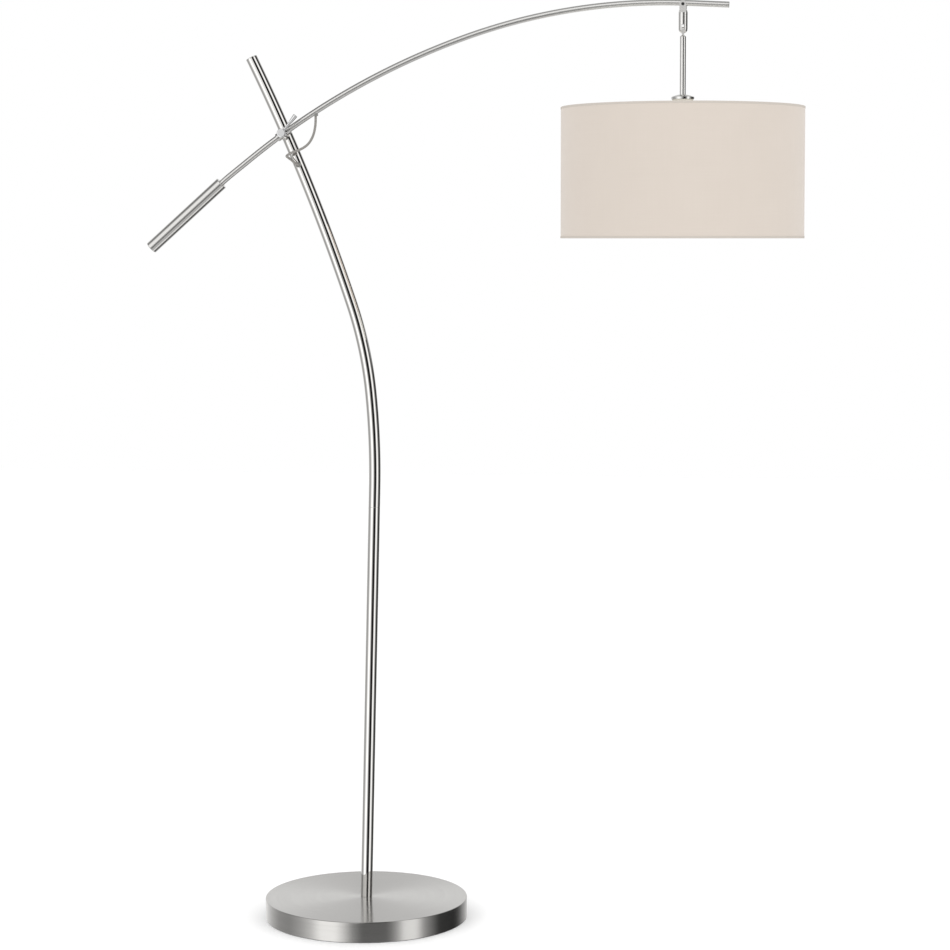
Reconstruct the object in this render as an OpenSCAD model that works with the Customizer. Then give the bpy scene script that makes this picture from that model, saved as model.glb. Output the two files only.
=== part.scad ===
// Adjustable arm floor lamp: a weighted round base, a two-piece bowed pole, a counterweighted arm
// clamped across it by a lever, and a drum shade that hangs from the arm's end.
// Origin: centre of the base's underside. +Z up, +X towards the shade, -Y towards the front.

/* [Base] */
// Diameter of the round base
base_d = 381; // [320:1:460]
// Height of the base above the floor
base_h = 38.5; // [34:0.5:60]
// Sheet thickness of the base cover
cover_t = 1.5; // [1:0.1:3]
// Thickness of the felt pad under the base
pad_t = 3; // [2:0.5:5]
// How far the pad stands below the cover's rim
pad_proud = 1; // [0.5:0.1:1.5]
// Gap between the cover's wall and what is inside it
cover_gap = 1; // [0.5:0.1:3]
// Width across the flats of the nut under the base
foot_nut_af = 19; // [17:1:24]

/* [Pole] */
// Outer diameter of the pole
pole_d = 22; // [18:0.5:28]
// Wall thickness of the pole
pole_t = 1.5; // [1:0.1:2.5]
// Lean of the straight lower pole towards the shade, in degrees
pole_lean = 1.3; // [0:0.1:4]
// Length of the lower pole, from the base to the seam
lower_len = 741; // [600:1:850]
// Straight length of the upper pole above the seam
neck_len = 35; // [32:1:80]
// Length of the first, gentle bend
bend1_len = 180; // [100:1:240]
// Radius of the first bend
bend1_r = 1475; // [900:5:3000]
// Length of the second, tighter bend
bend2_len = 170; // [100:1:240]
// Radius of the second bend
bend2_r = 750; // [600:5:1500]
// Radius of the long bow above the two bends
bow_r = 3820; // [2500:10:6000]
// Length of the bow up to the cord hole
bow_to_hole = 277; // [200:1:330]
// Distance from the cord hole to the clamp
hole_to_clamp = 63; // [50:1:80]
// Length of the bow above the clamp
clamp_to_top = 155; // [60:1:200]

/* [Arm] */
// Outer diameter of the arm tube
arm_d = 11.2; // [9:0.2:14]
// Wall thickness of the arm tube
arm_t = 1; // [0.8:0.1:1.5]
// Slope of the arm at the clamp, in degrees above level
arm_slope = 35; // [20:1:50]
// Distance from the clamp to the arm's cord hole
clamp_to_hole = 73; // [60:1:90]
// Length of the inner bend, from the cord hole outwards
inner_len = 317; // [250:1:400]
// Radius of the inner bend
inner_r = 1370; // [900:5:2500]
// Length of the outer bend, which ends at the hanger pin
outer_len = 400; // [300:1:500]
// Radius of the outer bend
outer_r = 1080; // [800:5:2000]
// Straight length beyond the hanger pin
tip_len = 82; // [30:1:120]
// Length of the arm's curved stretch behind the clamp
tail_len = 75; // [40:1:120]
// Length of the straight stretch between that and the counterweight
tail_straight = 52; // [20:1:90]
// Bend just in front of the counterweight, in degrees
tail_kink = 3.5; // [0:0.5:6]

/* [Counterweight] */
// Diameter of the counterweight
weight_d = 23.5; // [18:0.5:24]
// Length of the counterweight
weight_len = 182; // [120:1:220]
// Depth of its bore for the arm
weight_bore = 45; // [30:1:80]

/* [Clamp] */
// Distance from the pole's axis to the arm's axis
arm_offset = 25; // [24:0.5:32]
// Diameter of the pivot bolt
bolt_d = 6; // [5:0.5:7]
// Diameter of the saddles, the washers and the lever's hub
hub_d = 16.5; // [15:0.5:20]
// Length of the lever's hub
hub_len = 13.6; // [10:0.1:18]
// Outer diameter of the sleeve that holds the arm
sleeve_d = 15.6; // [15:0.2:16.4]
// Length of the sleeve
sleeve_len = 28; // [22:1:40]
// Thickness of each friction washer
washer_t = 0.8; // [0.5:0.1:1.5]
// Angle of the tightened lever, in degrees above level
lever_angle = 51; // [0:1:90]
// Reach of the lever from the hub's centre
lever_len = 42; // [34:1:60]
// Diameter of the lever's rod
lever_d = 5.4; // [4:0.2:6]
// Length of the lever's grip
grip_len = 16; // [12:1:24]

/* [Pendant] */
// Diameter of the hanger pin
pin_d = 4.4; // [3.6:0.2:5]
// How far the hanger pin lies below the arm's axis
pin_drop = 2.4; // [1.5:0.1:2.6]
// Diameter of the rounded hanging link
link_d = 16.5; // [15.5:0.5:20]
// Length of the hanging link
link_len = 46; // [38:1:60]
// Diameter of the stem
stem_d = 11; // [9:0.5:14]
// Wall thickness of the stem
stem_t = 1.2; // [1:0.1:2]
// Length of the stem from its shoulder to the top of the husk
stem_len = 106; // [60:1:160]
// Diameter of the husk that covers the lamp holder's top
husk_d = 42; // [40:1:52]

/* [Shade] */
// Outer diameter of the shade
shade_d = 443; // [360:1:500]
// Height of the shade
shade_h = 238; // [180:1:300]
// Height of the shade's top above the spider's hub
shade_rise = 15; // [10:1:24]
// Thickness of the fabric
fabric_t = 0.6; // [0.4:0.1:1]
// Thickness of the stiff liner behind the fabric
liner_t = 0.5; // [0.3:0.1:1]
// Height of the tape round each rim
tape_h = 6; // [4:0.5:10]
// Thickness of the tape
tape_t = 0.4; // [0.3:0.1:0.6]
// Diameter of the wire in the shade's rings and spokes
wire_d = 3.5; // [3:0.1:4]

/* [Cord] */
// Diameter of the cord that bridges the clamp
cord_d = 4.6; // [4:0.2:5]

/* [Hidden] */
// Radial clearances: a running fit, a fixed fit, and a loose hole
run_fit = 0.05;
fixed_fit = 0.03;
loose_fit = 0.3;
// Gap between flat faces that turn against each other
face_gap = 0.1;
// How far a cut runs past the face that it opens
past = 1;

// A place is [x, z, heading]: a point in the plane of the bends and the angle there, in degrees
// from straight up towards -X. A step is [length, radius]: radius 0 is straight, and a positive
// radius bends further towards -X.
function turn(step) = step[1] == 0 ? 0 : step[0] * 180 / (PI * step[1]);
function along(p, step) =
    let (r = step[1], a = p[2], b = p[2] + turn(step))
    r == 0 ? [p[0] - step[0] * sin(a), p[1] + step[0] * cos(a), a]
           : [p[0] - r * (cos(a) - cos(b)), p[1] + r * (sin(b) - sin(a)), b];
function place(start, steps, i) = i == 0 ? start : along(place(start, steps, i - 1), steps[i - 1]);

// The pole: the foot is where it meets the base, and its steps run up from the seam
FOOT = [0, base_h, -pole_lean];
SEAM = along(FOOT, [lower_len, 0]);
bow_len = bow_to_hole + hole_to_clamp + clamp_to_top;
POLE = [[neck_len, 0], [bend1_len, bend1_r], [bend2_len, bend2_r], [bow_len, bow_r]];
BOW = place(SEAM, POLE, 3);
POLE_HOLE = along(BOW, [bow_to_hole, bow_r]);
CLAMP = along(POLE_HOLE, [hole_to_clamp, bow_r]);
POLE_TOP = place(SEAM, POLE, 4);
pole_bore = pole_d - 2 * pole_t;

// The arm: from the tail's end one run of steps goes out to the tip, and the other goes back to
// the counterweight. The inner bend is one arc that passes through the clamp.
TAIL = along([CLAMP[0], CLAMP[1], arm_slope + 90], [tail_len, inner_r]);
ARM_START = [TAIL[0], TAIL[1], TAIL[2] - 180];
past_pin = 10;
ARM = [[tail_len + clamp_to_hole + inner_len, -inner_r], [outer_len + past_pin, -outer_r],
       [tip_len - past_pin, 0]];
CLAMP_SLOPE = [CLAMP[0], CLAMP[1], arm_slope - 90];
ARM_HOLE = along(CLAMP_SLOPE, [clamp_to_hole, -inner_r]);
PIN_AXIS = along(place(ARM_START, ARM, 1), [outer_len, -outer_r]);
ARM_TIP = place(ARM_START, ARM, 3);
kink_len = 20;
seat_len = 3;
BACK = [[tail_straight, 0], [kink_len, tail_kink == 0 ? 0 : kink_len * 180 / (PI * tail_kink)],
        [seat_len + weight_bore, 0]];
WEIGHT = along(place(TAIL, BACK, 2), [seat_len, 0]);
arm_bore = arm_d - 2 * arm_t;
arm_y = -arm_offset;
// The set screw that holds the counterweight
screw_at = 20;
screw_d = 4;

// Along the clamp's axis, from the pole outwards
clamp_half = hub_d / 2 + 0.15;
washer_rear_y = arm_y + clamp_half + face_gap + washer_t;
washer_front_y = arm_y - clamp_half - face_gap;
hub_rear_y = washer_front_y - washer_t - face_gap;
hub_front_y = hub_rear_y - hub_len;
saddle_d = hub_d - 1;
washer_d = hub_d - 1.5;
saddle_in = pole_d * 0.3;
bolt_head_d = 13;
bolt_head_h = 4;
hub_cap_t = 2.5;
rod_start = bolt_d / 2 + 1.5;
bolt_seat_y = pole_d / 2 + 4;

// Down the pendant, below the hanger pin
PIN = [PIN_AXIS[0], arm_y, PIN_AXIS[1] - pin_drop];
link_top = arm_d / 2 - pin_drop + 3.8;
knuckle_z = -(link_top + link_len - link_d / 2);
shoulder_z = knuckle_z - link_d / 2 - 3.5;
husk_z = shoulder_z - stem_len;
ear_t = 2.4;
ear_in = arm_d / 2 + loose_fit;
ear_w = 12.6;
tongue_t = 4;
slot_w = 4.4;
knuckle_d = 4;
wire_bore = 4;

// The lamp holder and the shade, below the husk
husk_h = 5;
husk_skirt = 4;
holder_d = 38;
holder_neck_d = 34.5;
holder_top = husk_z - husk_h;
stem_seat = 8;
head_h = 8;
neck_top = husk_z - 36;
holder_end = husk_z - 66;
hub_t = 2;
nut_ring_h = 8;
switch_z = husk_z - 25;
shade_top = neck_top - hub_t + shade_rise;
shade_bottom = shade_top - shade_h;
wall_t = fabric_t + liner_t;
ring_r = shade_d / 2 - tape_t - wall_t - tape_t - wire_d / 2 - run_fit;
socket_bore = 30;
insulator_t = 1;
shell_t = 0.5;
insulator_top = husk_z - 24;
insulator_in = insulator_top - 4;
shell_d = socket_bore - 2 * insulator_t;
cap_d = 26.4;
cap_len = 24;
cap_top = insulator_top - 8;
bulb_d = 60;
bulb_len = 108;
glass_t = 0.8;
shaft_d = 4;
knob_d = 10;
knob_len = 12;
knob_r = holder_d / 2 + 1;

// Hardware under the base
nipple_d = 12;
nipple_bore = 7;
nut_seat = -22;
foot_washer_t = 2;
foot_washer_d = 40;
foot_nut_h = 6;
recess_d = 64;
inlet_z = 13;
inlet_d = 10;
inlet_bore = 6.5;
channel_w = 14;
plug_len = 24;
coupler_len = 56;

// Grommets
grommet_wall = 1.3;
flange_t = 1.2;
grommet_d = cord_d + 2 * run_fit + 2 * grommet_wall;

// The cord's loop, measured from the clamp's centre on the pole's axis: down in slack, across the
// pole's front and back in a hairpin
CORD_LOOP = [
    [60, -25.5, 12], [58, -26.5, 1], [54.5, -28, -9], [49, -29, -18], [41.5, -30, -25],
    [32.5, -30.5, -30], [23, -30.5, -33.5], [15, -30, -36.5], [9, -28, -39.5], [5, -22, -42],
    [7.5, -16.5, -45], [12, -16.5, -48.2], [16, -19, -51.2], [20, -20, -54.2],
    [23.5, -18.2, -56.8]];
// It leaves the arm's hole straight down, and enters the pole's hole straight back
CORD_OUT = ARM_HOLE - CLAMP;
CORD_IN = POLE_HOLE - CLAMP;
CORD_ROUTE = concat(
    [for (drop = [2.3, 9.3, 18]) [CORD_OUT[0], arm_y, CORD_OUT[1] - drop]],
    CORD_LOOP,
    [for (y = [-14, -9, -4]) [CORD_IN[0], y, CORD_IN[1]]]);
cord_sides = 10;
// The cord inside the tubes is drawn a little thinner, to lie clear of their walls
inner_cord_d = 3.2;

$fn = 72;

// Draws its children at a place, with their z axis along the heading
module at(p) {
    translate([p[0], 0, p[1]]) rotate([0, -p[2], 0]) children();
}

// A cylinder along Y, from y0 to y1
module across(d, y0, y1) {
    translate([0, max(y0, y1), 0]) rotate([90, 0, 0]) cylinder(d = d, h = abs(y1 - y0));
}

// A flat ring that lies on XY
module ring(outer, inner, h) {
    difference() {
        cylinder(d = outer, h = h);
        translate([0, 0, -past]) cylinder(d = inner, h = h + 2 * past);
    }
}

// One step of a tube or a rod, from the origin along z; inner 0 leaves it solid. It reaches
// `before` back past its start and `after` past its end.
module step_solid(step, outer, inner, before = 0, after = 0) {
    r = abs(step[1]);
    if (r == 0) {
        translate([0, 0, -before]) if (inner > 0) ring(outer, inner, step[0] + before + after);
        else cylinder(d = outer, h = step[0] + before + after);
    } else {
        degrees = 180 / (PI * r);
        mirror([step[1] < 0 ? 1 : 0, 0, 0]) translate([-r, 0, 0]) rotate([90, 0, 0])
            rotate_extrude(angle = (step[0] + before + after) * degrees, start = -before * degrees,
                    $fn = 720)
                translate([r, 0]) difference() {
                    circle(d = outer, $fn = 72);
                    if (inner > 0) circle(d = inner, $fn = 72);
                }
    }
}

// Steps first..last of a run, end to end. Every second step is slightly thinner all round and laps
// into its neighbours, so that the steps join into one solid. With thin_start the first step is
// such a step, and with lap_start it also laps back past the run's start.
module run(start, steps, first, last, outer, inner = 0, thin_start = false, lap_start = false) {
    thinner = 0.3;
    lap = 1;
    for (i = [first:last]) {
        thin = (i + (thin_start ? 1 : 0)) % 2;
        at(place(start, steps, i)) step_solid(steps[i], outer - thin * thinner,
            inner == 0 ? 0 : inner + thin * thinner,
            i > first || lap_start ? thin * lap : 0, i < last ? thin * lap : 0);
    }
}

// The pole's bow and the arm's inner bend as solid rods, for seats that fit round them
module pole_rod() {
    at(BOW) step_solid(POLE[3], pole_d, 0);
}
module arm_rod() {
    translate([0, arm_y, 0]) at(ARM_START) step_solid(ARM[0], arm_d, 0);
}

// Children drawn from the clamp's centre, and from the hanger pin
module from_clamp() {
    translate([CLAMP[0], 0, CLAMP[1]]) children();
}
module from_pin() {
    translate(PIN) children();
}

// A disc with a rounded upper edge, as a half outline to turn
module rounded_disc(r, h, edge) {
    square([r - edge, h]);
    square([r, h - edge]);
    translate([r - edge, h - edge]) circle(r = edge);
}

// ---- Base ----

module base_cover() color([0.72, 0.71, 0.69]) {
    rim_h = base_h - pad_proud;
    edge = 0.8;
    difference() {
        translate([0, 0, pad_proud]) rotate_extrude() difference() {
            rounded_disc(base_d / 2, rim_h, edge);
            translate([0, -past]) square([base_d / 2 - cover_t, rim_h - cover_t + past]);
        }
        at(FOOT) translate([0, 0, -5]) cylinder(d = nipple_d + 2 * loose_fit, h = 10);
        translate([0, 0, inlet_z]) across(inlet_d, base_d / 2 - 5 * cover_t, base_d / 2 + past);
    }
}

module base_weight() color([0.45, 0.44, 0.42]) {
    weight_r = base_d / 2 - cover_t - cover_gap;
    difference() {
        translate([0, 0, pad_t]) cylinder(r = weight_r, h = base_h - cover_t - pad_t);
        at(FOOT) {
            translate([0, 0, -base_h]) cylinder(d = nipple_d + 2 * loose_fit, h = base_h + past);
            translate([0, 0, nut_seat - base_h]) cylinder(d = recess_d, h = base_h);
        }
        translate([-channel_w / 2, 0, 0]) cube([channel_w, base_d, inlet_z + channel_w / 2]);
    }
}

module base_pad() color([0.12, 0.12, 0.12]) {
    cylinder(r = base_d / 2 - cover_t - cover_gap, h = pad_t);
}

module base_nipple() color([0.75, 0.66, 0.42]) {
    low = nut_seat - foot_washer_t - foot_nut_h - 1;
    high = plug_len - 2;
    at(FOOT) translate([0, 0, low]) ring(nipple_d, nipple_bore, high - low);
}

module base_washer() color([0.6, 0.6, 0.6]) {
    at(FOOT) translate([0, 0, nut_seat - foot_washer_t])
        ring(foot_washer_d, nipple_d + 2 * loose_fit, foot_washer_t);
}

module base_nut() color([0.6, 0.6, 0.6]) {
    at(FOOT) translate([0, 0, nut_seat - foot_washer_t - foot_nut_h]) difference() {
        cylinder(d = foot_nut_af / cos(30), h = foot_nut_h, $fn = 6);
        translate([0, 0, -past]) cylinder(d = nipple_d, h = foot_nut_h + 2 * past);
    }
}

module cord_inlet() color([0.1, 0.1, 0.1]) {
    wall_y = base_d / 2;
    flange_gap = 0.3;
    flange_y = wall_y + 2.5;
    translate([0, 0, inlet_z]) difference() {
        union() {
            across(inlet_d, wall_y - cover_t - cover_gap, flange_y);
            across(inlet_d + 4, wall_y + flange_gap, flange_y);
        }
        across(inlet_bore, 0, base_d);
    }
}

module foot_plug() color([0.6, 0.6, 0.6]) {
    raised = 1;
    at(FOOT) translate([0, 0, raised]) ring(pole_bore, nipple_d, plug_len - raised);
}

// ---- Pole ----

module lower_pole() color([0.78, 0.77, 0.75]) {
    difference() {
        at(FOOT) translate([0, 0, -past]) ring(pole_d, pole_bore, lower_len + past);
        cylinder(d = 2 * pole_d, h = base_h);
    }
}

module pole_coupler() color([0.6, 0.6, 0.6]) {
    at(SEAM) translate([0, 0, -coupler_len / 2])
        ring(pole_bore - 2 * fixed_fit, pole_bore / 2, coupler_len);
}

module upper_pole() color([0.78, 0.77, 0.75]) {
    difference() {
        run(SEAM, POLE, 0, 3, pole_d, pole_bore, thin_start = true);
        from_clamp() across(bolt_d + 2 * fixed_fit, -pole_d, pole_d);
        at(POLE_HOLE) across(grommet_d, -pole_d, 0);
    }
}

module pole_cap() color([0.78, 0.77, 0.75]) {
    plug = 10;
    head = 2;
    edge = 0.8;
    at(POLE_TOP) {
        translate([0, 0, -plug]) cylinder(d = pole_bore - 2 * fixed_fit, h = plug);
        rotate_extrude() intersection() {
            rounded_disc(pole_d / 2, head, edge);
            square(pole_d);
        }
    }
}

module pole_grommet() color([0.35, 0.35, 0.34]) {
    flange_d = grommet_d + 2.4;
    difference() {
        at(POLE_HOLE) {
            across(grommet_d, -pole_d / 2 - flange_t, -pole_bore / 2 + 1);
            across(flange_d, -pole_d / 2 - flange_t, -pole_d / 2 + 2);
        }
        at(POLE_HOLE) across(cord_d + 2 * run_fit, -pole_d, 0);
        difference() {
            pole_rod();
            at(POLE_HOLE) across(grommet_d, -pole_d, 0);
        }
    }
}

module pole_wire() color([0.15, 0.15, 0.15]) {
    low = nut_seat - 5;
    at(FOOT) translate([0, 0, low]) cylinder(d = inner_cord_d, h = lower_len - low);
    to_hole = [POLE[0], POLE[1], POLE[2], [bow_to_hole, bow_r]];
    run(SEAM, to_hole, 0, 3, inner_cord_d, thin_start = true, lap_start = true);
}

// ---- Clamp ----

module front_saddle() color([0.74, 0.73, 0.71]) {
    difference() {
        from_clamp() across(saddle_d, -saddle_in, washer_rear_y);
        pole_rod();
        from_clamp() across(bolt_d + 2 * fixed_fit, -pole_d * 2, 0);
    }
}

module rear_saddle() color([0.74, 0.73, 0.71]) {
    difference() {
        from_clamp() across(saddle_d, saddle_in, bolt_seat_y);
        pole_rod();
        from_clamp() across(bolt_d + 2 * fixed_fit, 0, pole_d * 2);
    }
}

module pivot_bolt() color([0.74, 0.73, 0.71]) {
    from_clamp() {
        across(bolt_d, hub_front_y + hub_cap_t + 0.5, bolt_seat_y + 1);
        translate([0, bolt_seat_y, 0]) rotate([-90, 0, 0]) rotate_extrude() intersection() {
            rounded_disc(bolt_head_d / 2, bolt_head_h, bolt_head_h / 2);
            square(bolt_head_d);
        }
    }
}

module friction_washers() color([0.25, 0.24, 0.22]) {
    for (y = [washer_rear_y, washer_front_y]) {
        from_clamp() translate([0, y, 0]) rotate([90, 0, 0])
            ring(washer_d, bolt_d + 2 * fixed_fit, washer_t);
    }
}

module lever_hub() color([0.8, 0.8, 0.79]) {
    edge = 1.5;
    from_clamp() difference() {
        translate([0, hub_rear_y, 0]) rotate([90, 0, 0]) rotate_extrude() intersection() {
            rounded_disc(hub_d / 2, hub_len, edge);
            square(hub_d);
        }
        across(bolt_d + 2 * run_fit, hub_front_y + hub_cap_t, 0);
        translate([0, (hub_rear_y + hub_front_y) / 2, 0]) rotate([0, 90 - lever_angle, 0])
            translate([0, 0, rod_start]) cylinder(d = lever_d, h = hub_d);
    }
}

// Children drawn along the lever, from the hub's middle
module from_lever() {
    from_clamp() translate([0, (hub_rear_y + hub_front_y) / 2, 0]) rotate([0, 90 - lever_angle, 0])
        children();
}

module lever_rod() color([0.8, 0.8, 0.79]) {
    from_lever() translate([0, 0, rod_start])
        cylinder(d = lever_d, h = lever_len - grip_len / 2 - rod_start);
}

module lever_grip() color([0.8, 0.8, 0.79]) {
    low_d = lever_d + 1;
    high_d = lever_d + 3.4;
    chamfer = 0.8;
    from_lever() difference() {
        union() {
            translate([0, 0, lever_len - grip_len])
                cylinder(d1 = low_d, d2 = high_d, h = grip_len - chamfer);
            translate([0, 0, lever_len - chamfer])
                cylinder(d1 = high_d, d2 = high_d - 2 * chamfer, h = chamfer);
        }
        translate([0, 0, lever_len - grip_len - past]) cylinder(d = lever_d, h = grip_len / 2 + past);
    }
}

// ---- Arm ----

module arm_clamp() color([0.74, 0.73, 0.71]) {
    difference() {
        union() {
            from_clamp() across(hub_d, arm_y - clamp_half, arm_y + clamp_half);
            translate([0, arm_y, 0]) at(CLAMP_SLOPE) translate([0, 0, -sleeve_len / 2])
                cylinder(d = sleeve_d, h = sleeve_len);
        }
        translate([0, arm_y, 0]) at(CLAMP_SLOPE) translate([0, 0, -sleeve_len])
            cylinder(d = arm_d + loose_fit, h = 2 * sleeve_len);
        from_clamp() across(bolt_d + 2 * run_fit, arm_y - hub_d, arm_y + hub_d);
    }
}

module arm_bush() color([0.6, 0.6, 0.6]) {
    bush_len = 36;
    difference() {
        translate([0, arm_y, 0]) at(CLAMP_SLOPE) translate([0, 0, -bush_len / 2])
            cylinder(d = arm_bore - loose_fit, h = bush_len);
        from_clamp() across(bolt_d + 2 * run_fit, arm_y - hub_d, arm_y + hub_d);
    }
}

module arm_tube() color([0.76, 0.75, 0.72]) {
    difference() {
        translate([0, arm_y, 0]) {
            run(ARM_START, ARM, 0, 2, arm_d, arm_bore);
            run(TAIL, BACK, 0, 2, arm_d, arm_bore, thin_start = true, lap_start = true);
        }
        from_clamp() across(bolt_d + 2 * run_fit, arm_y - arm_d, arm_y + arm_d);
        from_pin() across(pin_d + 2 * run_fit, -arm_d, arm_d);
        translate([ARM_HOLE[0], arm_y, ARM_HOLE[1] - 2 * arm_d]) cylinder(d = grommet_d, h = 2 * arm_d);
    }
}

module arm_cap() color([0.76, 0.75, 0.72]) {
    plug = 8;
    head = 1.5;
    edge = 0.6;
    translate([0, arm_y, 0]) at(ARM_TIP) {
        translate([0, 0, -plug]) cylinder(d = arm_bore - 2 * fixed_fit, h = plug);
        rotate_extrude() intersection() {
            rounded_disc(arm_d / 2, head, edge);
            square(arm_d);
        }
    }
}

module arm_grommet() color([0.35, 0.35, 0.34]) {
    low_z = ARM_HOLE[1] - arm_d / 2 - flange_t - 1.4;
    flange_d = grommet_d + 2;
    difference() {
        translate([ARM_HOLE[0], arm_y, low_z]) {
            cylinder(d = grommet_d, h = 5);
            cylinder(d = flange_d, h = 3.2);
        }
        translate([ARM_HOLE[0], arm_y, low_z - past]) cylinder(d = cord_d + 2 * run_fit, h = 20);
        difference() {
            arm_rod();
            translate([ARM_HOLE[0], arm_y, ARM_HOLE[1] - arm_d]) cylinder(d = grommet_d, h = arm_d);
        }
    }
}

module arm_wire() color([0.15, 0.15, 0.15]) {
    short_of_pin = 12;
    inside = [[inner_len, -inner_r], [outer_len - short_of_pin, -outer_r]];
    translate([0, arm_y, 0]) run(ARM_HOLE, inside, 0, 1, inner_cord_d);
}

module counterweight() color([0.7, 0.69, 0.67]) {
    chamfer = 0.8;
    translate([0, arm_y, 0]) at(WEIGHT) difference() {
        rotate_extrude() polygon([[0, 0], [weight_d / 2 - chamfer, 0], [weight_d / 2, chamfer],
            [weight_d / 2, weight_len - chamfer], [weight_d / 2 - chamfer, weight_len],
            [0, weight_len]]);
        translate([0, 0, -past]) cylinder(d = arm_d + 2 * fixed_fit, h = weight_bore + past);
        translate([0, 0, screw_at]) rotate([0, 90, 0]) cylinder(d = screw_d, h = weight_d);
    }
}

module weight_screw() color([0.2, 0.2, 0.2]) {
    sunk = 0.8;
    screw_len = (weight_d - arm_d) / 2 - sunk - fixed_fit;
    hex_d = 2.3;
    hex_depth = 2;
    translate([0, arm_y, 0]) at(WEIGHT) translate([arm_d / 2 + fixed_fit, 0, screw_at])
        rotate([0, 90, 0]) difference() {
            cylinder(d = screw_d, h = screw_len);
            translate([0, 0, screw_len - hex_depth])
                cylinder(d = hex_d, h = hex_depth + past, $fn = 6);
        }
}

// ---- Pendant: a link that swings about Y, and a stem that swings about X ----

module link_body() color([0.8, 0.8, 0.79]) {
    r = link_d / 2;
    from_pin() difference() {
        union() {
            translate([0, 0, knuckle_z]) cylinder(d = link_d, h = link_len - link_d);
            translate([0, 0, knuckle_z]) sphere(d = link_d);
            translate([0, 0, -link_top - r]) sphere(d = link_d);
            for (side = [-1, 1]) {
                across(ear_w, side * ear_in, side * (ear_in + ear_t));
                translate([-ear_w / 2, min(side * ear_in, side * (ear_in + ear_t)), -link_top - r])
                    cube([ear_w, ear_t, link_top + r]);
            }
        }
        across(pin_d, -link_d, link_d);
        translate([-slot_w / 2, -link_d, knuckle_z - link_d])
            cube([slot_w, 2 * link_d, link_d + 8]);
        translate([0, 0, knuckle_z]) rotate([0, 90, 0]) translate([0, 0, -link_d])
            cylinder(d = knuckle_d, h = 2 * link_d);
        translate([0, 0, knuckle_z]) cylinder(d = wire_bore, h = link_len);
    }
}

module hanger_pin() color([0.25, 0.24, 0.22]) {
    half = ear_in + ear_t;
    head_d = pin_d + 1.4;
    head_t = 1;
    from_pin() {
        across(pin_d, -half, half);
        across(head_d, -half - head_t, -half);
        across(head_d, half, half + head_t);
    }
}

module knuckle_pin() color([0.7, 0.7, 0.69]) {
    half = sqrt(pow(link_d / 2, 2) - pow(knuckle_d / 2, 2));
    from_pin() translate([-half, 0, knuckle_z]) rotate([0, 90, 0])
        cylinder(d = knuckle_d, h = 2 * half);
}

module stem() color([0.78, 0.77, 0.75]) {
    chamfer = 2;
    from_pin() difference() {
        union() {
            translate([0, 0, holder_top - stem_seat])
                ring(stem_d, stem_d - 2 * stem_t, shoulder_z - head_h + 1 - holder_top + stem_seat);
            translate([0, 0, shoulder_z - head_h]) cylinder(d = stem_d, h = head_h - chamfer);
            translate([0, 0, shoulder_z - chamfer])
                cylinder(d1 = stem_d, d2 = stem_d - 2 * chamfer, h = chamfer);
            translate([-tongue_t / 2, -stem_d / 2 + chamfer, shoulder_z - 1])
                cube([tongue_t, stem_d - 2 * chamfer, knuckle_z - shoulder_z + 1]);
            translate([-tongue_t / 2, 0, knuckle_z]) rotate([0, 90, 0])
                cylinder(d = stem_d - 2 * chamfer, h = tongue_t);
        }
        translate([-stem_d, 0, knuckle_z]) rotate([0, 90, 0])
            cylinder(d = knuckle_d + 2 * run_fit, h = 2 * stem_d);
    }
}

module stem_wire() color([0.15, 0.15, 0.15]) {
    high = shoulder_z - head_h - 1;
    low = insulator_top - 2;
    from_pin() translate([0, 0, low]) cylinder(d = inner_cord_d, h = high - low);
}

module husk() color([0.76, 0.75, 0.72]) {
    dome_r = (pow(husk_d / 2, 2) + pow(husk_h, 2)) / (2 * husk_h);
    sheet = 1.2;
    from_pin() difference() {
        translate([0, 0, husk_z - husk_h]) rotate_extrude() difference() {
            union() {
                intersection() {
                    translate([0, husk_h - dome_r]) circle(r = dome_r, $fn = 200);
                    square([husk_d / 2, husk_h]);
                }
                translate([0, -husk_skirt]) square([husk_d / 2, husk_skirt]);
            }
            translate([-past, -husk_skirt - past])
                square([husk_d / 2 - sheet + past, husk_skirt + past]);
        }
        translate([0, 0, husk_z - 2 * husk_h]) cylinder(d = stem_d, h = 4 * husk_h);
    }
}

// ---- Lamp holder and switch ----

module lamp_holder() color([0.88, 0.86, 0.82]) {
    from_pin() difference() {
        union() {
            translate([0, 0, neck_top]) cylinder(d = holder_d, h = holder_top - neck_top);
            translate([0, 0, holder_end]) cylinder(d = holder_neck_d, h = neck_top - holder_end);
        }
        translate([0, 0, holder_end - past])
            cylinder(d = socket_bore, h = insulator_top - holder_end + past);
        translate([0, 0, insulator_top - past]) cylinder(d = cord_d, h = holder_d);
        translate([0, 0, holder_top - stem_seat]) cylinder(d = stem_d, h = stem_seat + past);
        translate([0, 0, switch_z]) rotate([0, 90, 0])
            cylinder(d = shaft_d + 2 * run_fit, h = holder_d);
    }
}

module holder_insulator() color([0.93, 0.92, 0.88]) {
    low = holder_end + 2;
    cut_d = shaft_d + 2;
    from_pin() difference() {
        translate([0, 0, low]) cylinder(d = socket_bore, h = insulator_top - low);
        translate([0, 0, holder_end]) cylinder(d = shell_d, h = insulator_in - holder_end);
        translate([0, 0, insulator_in - past]) cylinder(d = cord_d, h = socket_bore);
        translate([shaft_d, 0, switch_z]) rotate([0, 90, 0]) cylinder(d = cut_d, h = socket_bore);
    }
}

module screw_shell() color([0.78, 0.62, 0.3]) {
    low = holder_end + 4;
    from_pin() translate([0, 0, low]) ring(shell_d, shell_d - 2 * shell_t, 26);
}

module centre_contact() color([0.78, 0.62, 0.3]) {
    contact_d = 8;
    from_pin() translate([0, 0, cap_top]) cylinder(d = contact_d, h = insulator_in - cap_top);
}

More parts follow.
